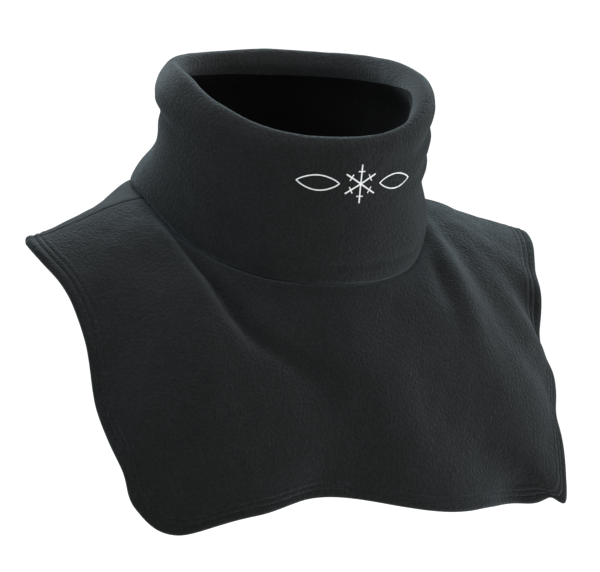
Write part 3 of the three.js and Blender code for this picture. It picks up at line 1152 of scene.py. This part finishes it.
@dataclass
class Bib:
    """One bib: a sheet of fleece whose free edge is turned under and sewn down."""

    CLOSER = 1.08  # above 1, the rows lie closer together towards the neck
    BEND_ROWS = 7
    TURNED_ROWS = 6

    node: str
    form: BibForm
    first_rib: float
    last_rib: float
    columns: int
    rows: int
    flat: Pair
    cut: float
    thickness: float = CLOTH
    bend: float = 1.25 * MM
    stitch_lines: Pair = (5.6 * MM, 9.2 * MM)
    tucked_rows: Triple = (-1.0, -0.6, -0.25)
    hem: float = 12 * MM
    hem_step: float = 0.36 * MM
    turned_past: float = 1.4 * MM
    side_round: float = 1.6 * MM
    side_steps: tuple[float, ...] = (0, 0.004, 0.009, 0.016, 0.026, 0.04)
    side_reach: float = 0.07
    waves: tuple[Wave, Wave] = (Wave(34 * MM, 1.5 * MM, 5.7), Wave(12 * MM, 0.4 * MM, 1.9))
    held: float = 0.12

    def column_places(self) -> Array:
        """The places of the columns round the neck, closer together at the shoulder seams.

        Returns:
            The places, in ribs.
        """
        near = np.array(self.side_steps)
        count = self.columns + 1 - 2 * len(near)
        middle = np.linspace(self.first_rib + self.side_reach, self.last_rib - self.side_reach, count)
        return np.concatenate([self.first_rib + near, middle, (self.last_rib - near)[::-1]])

    def rounding(self, place: Array, share: Array) -> Array:
        """How far the cloth turns down into the shoulder seam.

        Args:
            place: the place round the neck, in ribs.
            share: the share of the way to the hem.

        Returns:
            The distance in metres.
        """
        side = np.minimum(place - self.first_rib, self.last_rib - place)
        across = self.form.smooth(place + 1, share) - self.form.smooth(place - 1, share)
        wide = 0.5 * np.linalg.norm(across, axis=-1)
        rest = np.clip(self.side_round - side * wide, 0, self.side_round * 0.98)
        return self.side_round - np.sqrt(self.side_round**2 - rest**2)

    def normals(self, place: Array, share: Array) -> Array:
        """The outward normals of the bib's cloth."""
        share = np.maximum(share, -0.5)
        return normals_of(self.form.point, place, share, self.form.RIB_STEP, self.form.SHARE_STEP)

    def hem_relief(self, inward: Array) -> Array:
        """The form of the sewn hem: puffed at its edge, with two sewn grooves and a ridge between them.

        Args:
            inward: the distance from the edge.

        Returns:
            How far the cloth stands out.
        """
        first, second = self.stitch_lines
        waves = (
            HemWave(2.9 * MM, 1.7 * MM, 0.55 * MM),
            HemWave((first + second) / 2, 0.9 * MM, 0.25 * MM),
            HemWave(second + 2.4 * MM, 1.6 * MM, 0.2 * MM),
            HemWave(first, 0.6 * MM, -0.6 * MM),
            HemWave(second, 0.6 * MM, -0.4 * MM),
        )
        return sum(wave.high * np.exp(-(((inward - wave.inward) / wave.wide) ** 2)) for wave in waves)

    def shown(self, place: Array, share: Array) -> tuple[Array, Array]:
        """The cloth with its small unevenness, and its outward normals."""
        normals = self.normals(place, share)
        free = smooth_step(share, 0.0, self.held)
        return softened(self.form.point(place, share), normals, self.waves, free), normals

    def on_hem(self, place: Array, inward: Array, lift: float) -> tuple[Array, Array]:
        """Points on the hem's outer side.

        Args:
            place: the place round the neck, in ribs.
            inward: the distance from the edge.
            lift: how far they stand off the cloth.

        Returns:
            The points and the cloth's normals there.
        """
        points, normals = self.shown(place, 1 - inward * self.form.hem_rate(place))
        out = self.hem_relief(inward) + self.thickness / 2 + lift
        return points + normals * out[..., None], normals

    def build(self) -> Piece:
        """Builds the bib's cloth: the strip under the collar, the open cloth, the hem and its turned edge.

        Returns:
            The piece.
        """
        place = self.column_places()
        rate = self.form.hem_rate(place)
        bend_middle = self.bend + self.thickness / 2
        rows: list[Array] = []

        def lay(share: Array, out: Array | float) -> None:
            """Adds a row of points at the given shares, moved out along the normals.

            Args:
                share: the share of the way to the hem, at each column.
                out: how far the points are moved out.
            """
            points, normals = self.shown(place, share)
            turned = out - self.rounding(place, np.maximum(share, 0))
            rows.append(points + normals * np.broadcast_to(turned, place.shape)[..., None])

        for share in self.tucked_rows:
            lay(np.full_like(place, share), 0.0)
        for step in np.linspace(0, 1, self.rows):
            lay(step**self.CLOSER * (1 - self.hem * rate), 0.0)
        for inward in np.arange(self.hem - self.hem_step, bend_middle, -self.hem_step):
            lay(1 - inward * rate, self.hem_relief(np.array(inward)))
        edge = self.hem_relief(np.array(bend_middle))
        for turn in np.linspace(0, math.pi, self.BEND_ROWS):
            inward = bend_middle - self.bend * math.sin(turn)
            lay(1 - inward * rate, edge * (1 + math.cos(turn)) / 2 + self.bend * (math.cos(turn) - 1))
        turned_edge = self.stitch_lines[1] + self.turned_past
        for inward in np.linspace(bend_middle, turned_edge, self.TURNED_ROWS)[1:]:
            lay(1 - inward * rate, -2 * self.bend)

        name = f"{self.node}_fleece"
        mesh = cloth_grid(name, np.array(rows), reverse=True)
        return sewn_piece(mesh_object(name, mesh, [BLACK_FLEECE.material()]), self.thickness, self.node)


@dataclass
class HemStitching:
    """Two rows of machine stitches along a bib's turned edge."""

    NEAR = 0.01

    bib: Bib
    pitch: float = 3.2 * MM
    length: float = 2.5 * MM
    radius: float = 0.28 * MM
    lift: float = -0.1 * MM
    from_side: float = 0.05

    def build(self) -> Piece:
        """Builds the stitches.

        Returns:
            The piece.
        """
        work = StitchWork()
        ends = (self.bib.first_rib + self.from_side, self.bib.last_rib - self.from_side)
        fine = np.linspace(*ends, FINE_STEPS)
        for line in self.bib.stitch_lines:
            track, _ = self.bib.on_hem(fine, np.full_like(fine, line), 0.0)
            place = even_places(track, fine, self.pitch)
            inward = np.full_like(place, line)
            points, normals = self.bib.on_hem(place, inward, self.lift)
            ahead, _ = self.bib.on_hem(place + self.NEAR, inward, self.lift)
            for point, normal, next_point in zip(points, normals, ahead):
                work.add(point, next_point - point, normal, self.length, self.radius)
        return work.finish(f"{self.bib.node}_stitches", BLACK_THREAD, self.bib.node)


class Stroke(NamedTuple):
    """One line of satin stitches: its points in millimetres from the motif's middle, and its width."""

    points: tuple[Pair, ...]
    wide: float


@dataclass
class Embroidery:
    """A small plain motif on the front of the collar: a snow crystal between two slim spindles.

    Its own lengths are in millimetres.
    """

    FULLNESS = 0.8  # under 1, the spindles are rounder than a sine
    SPINDLE_POINTS = 13
    NEAR = 0.02

    collar: Collar
    height: float = 62.0
    aside: float = 4.5
    arm: float = 12.0
    bar: float = 2.3
    bar_place: float = 0.64
    spindle: Pair = (27.0, 4.6)
    gap: float = 14.5
    wide: float = 1.05
    bar_wide: float = 0.75
    spindle_wide: float = 0.8
    slant: float = 0.25
    overlap: float = 1.12
    pitch: float = 0.42
    radius: float = 0.26
    lift: float = 0.15

    def crystal(self) -> list[Stroke]:
        """The strokes of the snow crystal: three lines across and a short bar over each arm.

        Returns:
            The strokes.
        """
        strokes = []
        for turn in (30, 90, 150):
            x, y = self.arm * math.cos(math.radians(turn)), self.arm * math.sin(math.radians(turn))
            strokes.append(Stroke(((-x, -y), (x, y)), self.wide))
        for turn in range(30, 390, 60):
            x, y = math.cos(math.radians(turn)), math.sin(math.radians(turn))
            far = self.bar_place * self.arm
            ends = tuple((far * x - s * y * self.bar, far * y + s * x * self.bar) for s in (-1, 1))
            strokes.append(Stroke(ends, self.wide * self.bar_wide))
        return strokes

    def spindles(self) -> list[Stroke]:
        """The strokes of the two slim outlined spindles, pointed at both ends.

        Returns:
            The strokes.
        """
        long, half = self.spindle
        strokes = []
        for side in (-1, 1):
            for bow in (-1, 1):
                shares = np.linspace(0, 1, self.SPINDLE_POINTS)
                bows = [bow * half * math.sin(math.pi * share) ** self.FULLNESS for share in shares]
                points = tuple((side * (self.gap + share * long), y) for share, y in zip(shares, bows))
                strokes.append(Stroke(points, self.wide * self.spindle_wide))
        return strokes

    def build(self) -> Piece:
        """Builds every stroke as threads laid side by side across it.

        Returns:
            The piece.
        """
        work = StitchWork()
        for stroke in self.crystal() + self.spindles():
            line = np.array(stroke.points)
            places = np.linspace(0, 1, len(line))
            for place in even_places(line, places, self.pitch):
                before, middle, after = (
                    np.array([np.interp(place + step, places, column) for column in line.T])
                    for step in (-self.NEAR, 0, self.NEAR)
                )
                way = unit(after - before)
                across = (np.array([-way[1], way[0]]) + way * self.slant) * stroke.wide / 2
                centre = middle + (self.aside, self.height)
                (start, up), (end, _) = (
                    self.collar.on_surface(*((centre + side * across) * MM), self.lift * MM)
                    for side in (-1, 1)
                )
                length = stroke.wide * self.overlap * MM
                work.add((start + end) / 2, end - start, up, length, self.radius * MM)
        return work.finish("embroidery", WHITE_THREAD, "collar")


# Studio

NEUTRAL = (1.0, 1.0, 1.0)
COOL = (0.77, 0.93, 1.0)


class Lamp(NamedTuple):
    """A square soft lamp: where it hangs, the length of its sides in metres, its power and its colour."""

    name: str
    place: Triple
    size: float
    watts: float
    tint: Triple


LAMPS = (
    Lamp("upper rear lamp", (0.12, 0.8, 0.78), 0.5, 24, COOL),
    Lamp("far side lamp", (-0.91, 0.01, 0.65), 0.5, 8, COOL),
    Lamp("front side lamp", (0.66, -0.92, 0.16), 0.5, 7.5, NEUTRAL),
    Lamp("near side lamp", (0.38, -0.2, -0.04), 0.25, 1.1, COOL),
    Lamp("near upper lamp", (-0.02, -0.05, 0.46), 0.25, 1.9, NEUTRAL),
)


def aimed(thing: Piece, place: Vector, aim: Vector) -> None:
    """Puts a lamp or a camera at a place and turns it to what it looks at."""
    thing.location = place
    thing.rotation_euler = (aim - place).to_track_quat("-Z", "Y").to_euler()


@dataclass
class Studio:
    """A pale floor far below the hanging bibs, a white room and soft lamps."""

    floor_drop: float = 0.62
    floor_half: float = 20.0
    room: float = 0.2
    aim: Triple = (0.0, 0.0, -0.03)

    def build(self) -> None:
        """Builds the floor, the room's light and the lamps."""
        self.lay_floor()
        self.light_room()
        for lamp in LAMPS:
            self.hang(lamp)

    def lay_floor(self) -> None:
        """Lays a plain pale floor."""
        mesh = bmesh.new()
        bmesh.ops.create_grid(mesh, x_segments=2, y_segments=2, size=self.floor_half)
        bmesh.ops.translate(mesh, verts=mesh.verts[:], vec=(0, 0, -self.floor_drop))
        paint = bpy.data.materials.new("pale floor")
        paint.use_nodes = True
        shader = paint.node_tree.nodes["Principled BSDF"]
        shader.inputs["Base Color"].default_value = (0.3, 0.3, 0.3, 1)
        shader.inputs["Roughness"].default_value = 0.9
        shader.inputs["Specular IOR Level"].default_value = 0.1
        shader.inputs["Emission Color"].default_value = (1, 1, 1, 1)
        shader.inputs["Emission Strength"].default_value = 1.0
        mesh_object("floor", mesh, [paint])

    def light_room(self) -> None:
        """Fills the room with even white light."""
        world = bpy.data.worlds.new("white room")
        world.use_nodes = True
        world.node_tree.nodes["Background"].inputs["Color"].default_value = (1, 1, 1, 1)
        world.node_tree.nodes["Background"].inputs["Strength"].default_value = self.room
        bpy.context.scene.world = world

    def hang(self, lamp: Lamp) -> None:
        """Hangs a lamp that shines at the collar's foot.

        Args:
            lamp: the lamp.
        """
        light = bpy.data.lights.new(lamp.name, "AREA")
        light.size = lamp.size
        light.energy = lamp.watts
        light.color = lamp.tint
        aimed(linked(lamp.name, light), Vector(lamp.place), Vector(self.aim))


@dataclass
class PhotoCamera:
    """The camera, at the photograph's height and side."""

    azimuth: float = -25.0
    elevation: float = 8.0
    distance: float = 1.55
    lens: float = 144.2
    sensor: float = 36
    aside: float = 0.0097
    below: float = 0.051

    def build(self) -> None:
        """Sets the camera up."""
        turn, rise = math.radians(self.azimuth), math.radians(self.elevation)
        back = Vector((math.sin(turn) * math.cos(rise), -math.cos(turn) * math.cos(rise), math.sin(rise)))
        right = Vector((math.cos(turn), math.sin(turn), 0))
        up = back.cross(right)
        aim = right * self.aside - up * self.below
        camera = bpy.data.cameras.new("camera")
        camera.lens = self.lens
        camera.sensor_width = self.sensor
        held = linked("camera", camera)
        aimed(held, back * self.distance, aim)
        bpy.context.scene.camera = held


def report(piece: Piece) -> None:
    """Logs a finished piece's size with its modifiers.

    Args:
        piece: the piece.
    """
    shown = piece.evaluated_get(bpy.context.evaluated_depsgraph_get()).to_mesh()
    shown.calc_loop_triangles()
    log.info("%s: %d triangles", piece.name, len(shown.loop_triangles))


def main() -> None:
    """Builds the dickey and its studio."""
    logging.basicConfig(level=logging.INFO, format="%(name)s: %(message)s")
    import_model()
    bpy.context.scene.view_settings.view_transform = "Standard"
    PhotoCamera().build()
    Studio().build()

    seam = NeckSeam()
    form = BibForm(seam)
    collar = Collar(seam)
    collar_fleece = collar.build()
    report(collar_fleece)
    embroidery = Embroidery(collar).build()
    report(embroidery)

    front_edge, back_edge = SHOULDER_RIB - SHOULDER_GAP, SHOULDER_RIB + SHOULDER_GAP
    back_end = RIBS_ROUND - back_edge
    bibs = (
        Bib("front_bib", form, -front_edge, front_edge, columns=300, rows=78, flat=(0.4, 0.25), cut=0.078),
        Bib("back_bib", form, back_edge, back_end, columns=200, rows=46, flat=(0.36, 0.2), cut=0.054),
    )
    for bib in bibs:
        cloth = bib.build()
        report(cloth)
        stitches = HemStitching(bib).build()
        report(stitches)


if __name__ == "__main__":
    main()
